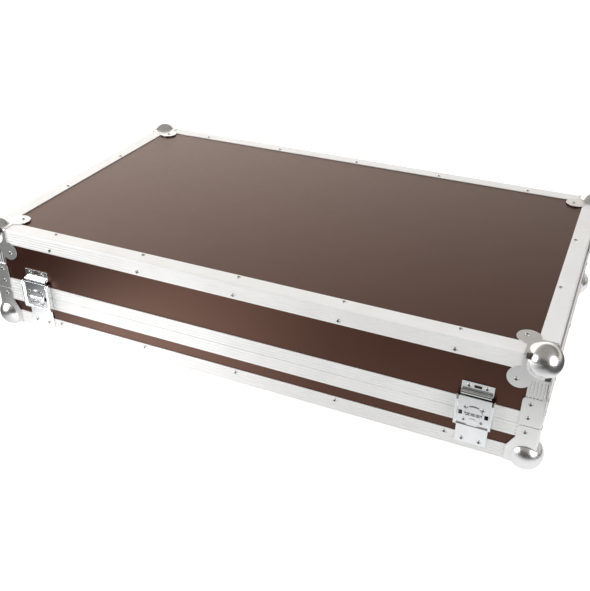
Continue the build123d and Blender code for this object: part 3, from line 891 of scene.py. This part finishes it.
def knuckle_profile(length):
    """Radius and height pairs of a knuckle with fluted ends."""
    flute = knuckle_flute
    start = [(knuckle_radius - flute, 0), (knuckle_radius - flute / 3, flute / 3), (knuckle_radius, flute)]
    end = [(radius, length - height) for radius, height in reversed(start)]
    return start + end


def wing_knuckles():
    """The wing's rolled edge, in three knuckles round its rod."""
    side_start = middle_knuckle_half + knuckle_gap
    spans = [
        (-knuckle_reach, -side_start),
        (-middle_knuckle_half, middle_knuckle_half),
        (side_start, knuckle_reach),
    ]
    for side in ("left", "right"):
        low, high = [Vector(corner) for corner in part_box(f"latch_{side}_wing")]
        rod = Vector(((low.x + high.x) / 2, low.y + wing_rod_radius, high.z - wing_rod_radius))
        shape = bmesh.new()
        for start, end in spans:
            place = facing(Vector((1, 0, 0)), rod + Vector((start, 0, 0)))
            revolve(shape, knuckle_profile(end - start), place, knuckle_segments)
        obj = new_piece(f"latch_{side}_wing_knuckles", shape, latch_steel)
        keep_sharp(obj.data, turned_edge_angle)
        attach(obj, f"latch_{side}_wing")


# Studio


def painted_light_pool(tree):
    """How bright the painted pool of light on the floor is at each place, as a glow that only reflections
    see.
    """
    x, y, _ = coordinates(tree, "Object")
    rise = fade(tree, x, pool_end_share, painted_pool_glow, between=pool_left_rise)
    fall = fade(tree, x, 1.0, pool_right_share, between=pool_right_fall)
    right_end = fade(tree, x, 1.0, pool_end_share, between=pool_right_end)
    nearness = fade(tree, y, pool_far_share, pool_near_share, between=pool_nearness)
    front_share = fade(tree, x, 1.0, pool_front_share, between=pool_front_fall)
    front_end = fade(tree, y, front_share, 1.0, between=pool_front_end)
    pool = rise
    for share in (fall, right_end, nearness, front_end):
        pool = compute(tree, "MULTIPLY", pool, share)
    return pool


def floor():
    """A plain white floor that keeps the case's shadow; to reflections it is painted dark, with a pool of
    painted light glowing on it that metal mirrors.
    """
    bpy.ops.mesh.primitive_plane_add(size=floor_size, location=(0, 0, 0))
    obj = bpy.context.object
    obj.name = "floor"
    material, tree, shader = new_material("white_floor")
    shader.inputs["Roughness"].default_value = 0.9
    shader.inputs["Specular IOR Level"].default_value = 0.0
    shader.inputs["Emission Color"].default_value = (1, 1, 1, 1)
    ray = tree.nodes.new("ShaderNodeLightPath").outputs
    # Reflections see the floor painted dark, with the painted pool of light glowing on it
    grey = mix(tree, ray["Is Glossy Ray"], floor_grey, mirrored_floor_shade, "RGBA")
    tree.links.new(grey, shader.inputs["Base Color"])
    mirrored = compute(tree, "MULTIPLY", painted_light_pool(tree), ray["Is Glossy Ray"])
    glow = compute(tree, "MULTIPLY_ADD", ray["Is Camera Ray"], floor_glow, mirrored)
    tree.links.new(glow, shader.inputs["Emission Strength"])
    paint(obj, material)


def mirrored_room(tree):
    """How bright the room is in each direction, as metal mirrors it."""
    x, y, z = coordinates(tree, "Generated")
    height = remap(tree, z, wall_low, wall_high, between=wall_rise)
    leftward = remap(tree, x, wall_left, wall_right, between=wall_run)
    wall = compute(tree, "MAXIMUM", compute(tree, "ADD", height, leftward), wall_dimmest)
    behind = fade(tree, y, 0.0, 1.0, between=wall_behind)
    upward = fade(tree, z, 0.0, 1.0, between=ceiling_rise)
    return mix(tree, upward, mix(tree, behind, room_front, wall), room_ceiling)


def world():
    """A plain studio: even light all round, white to the camera, and a room that metal can mirror."""
    studio = bpy.data.worlds.new("studio")
    scene.world = studio
    studio.use_nodes = True
    tree = studio.node_tree
    tree.nodes.clear()
    ray = tree.nodes.new("ShaderNodeLightPath").outputs
    brightness = mix(tree, ray["Is Glossy Ray"], room_light, mirrored_room(tree))
    brightness = mix(tree, ray["Is Camera Ray"], brightness, 1.0)
    colour = mix(tree, ray["Is Glossy Ray"], (1, 1, 1, 1), wall_colour, "RGBA")
    background = tree.nodes.new("ShaderNodeBackground")
    tree.links.new(colour, background.inputs["Color"])
    tree.links.new(brightness, background.inputs["Strength"])
    output = tree.nodes.new("ShaderNodeOutputWorld")
    tree.links.new(background.outputs[0], output.inputs["Surface"])


def softbox(name, place, aim, size, power, mirrored=True):
    """A round soft light aimed at a point, in metres and watts, which metal mirrors or not."""
    data = bpy.data.lights.new(name, "AREA")
    data.shape = "DISK"
    data.size = size
    data.energy = power
    obj = link(name, data)
    obj.location = place
    obj.rotation_euler = (Vector(aim) - Vector(place)).to_track_quat("-Z", "Y").to_euler()
    obj.visible_glossy = mirrored


def lights():
    """A softbox at each end in front, a broad one overhead and one behind on the left."""
    front = (0, -0.1, 0.1)
    softbox("left_box", place=(-1.35, -1.19, 0.77), aim=front, size=1.2, power=15)
    softbox("right_box", place=(1.51, -0.80, 0.72), aim=front, size=1.15, power=9)
    softbox("overhead_box", place=(0.1, 0.3, 2.4), aim=(0, 0, 0.1), size=2.2, power=16.5, mirrored=False)
    softbox("back_box", place=(-1.7, 2.1, 1.1), aim=(-0.2, 0.1, 0.1), size=2.8, power=12, mirrored=False)


def camera():
    """The photograph's viewpoint."""
    azimuth = math.radians(camera_azimuth)
    elevation = math.radians(camera_elevation)
    roll = math.radians(camera_roll)
    flat = math.cos(elevation)
    back = Vector((math.sin(azimuth) * flat, -math.cos(azimuth) * flat, math.sin(elevation)))
    right = Vector((0, 0, 1)).cross(back).normalized()
    up = back.cross(right)
    turned_right = math.cos(roll) * right + math.sin(roll) * up
    turned_up = -math.sin(roll) * right + math.cos(roll) * up
    data = bpy.data.cameras.new("camera")
    data.sensor_width = camera_sensor
    data.lens = focal_pixels / image_height_pixels * camera_sensor
    obj = link("camera", data)
    rotation = Matrix((turned_right, turned_up, back)).transposed()
    obj.matrix_world = Matrix.Translation(camera_target + back * camera_distance) @ rotation.to_4x4()
    scene.camera = obj


# The scene
dress_nodes()
corner_fittings()
rivets("base")
rivets("lid")
foam_bed()
foam_strips()
lid_foam()
wing_pads()
wing_knuckles()
end_grain()
floor()
world()
lights()
camera()
scene.view_settings.view_transform = "Standard"
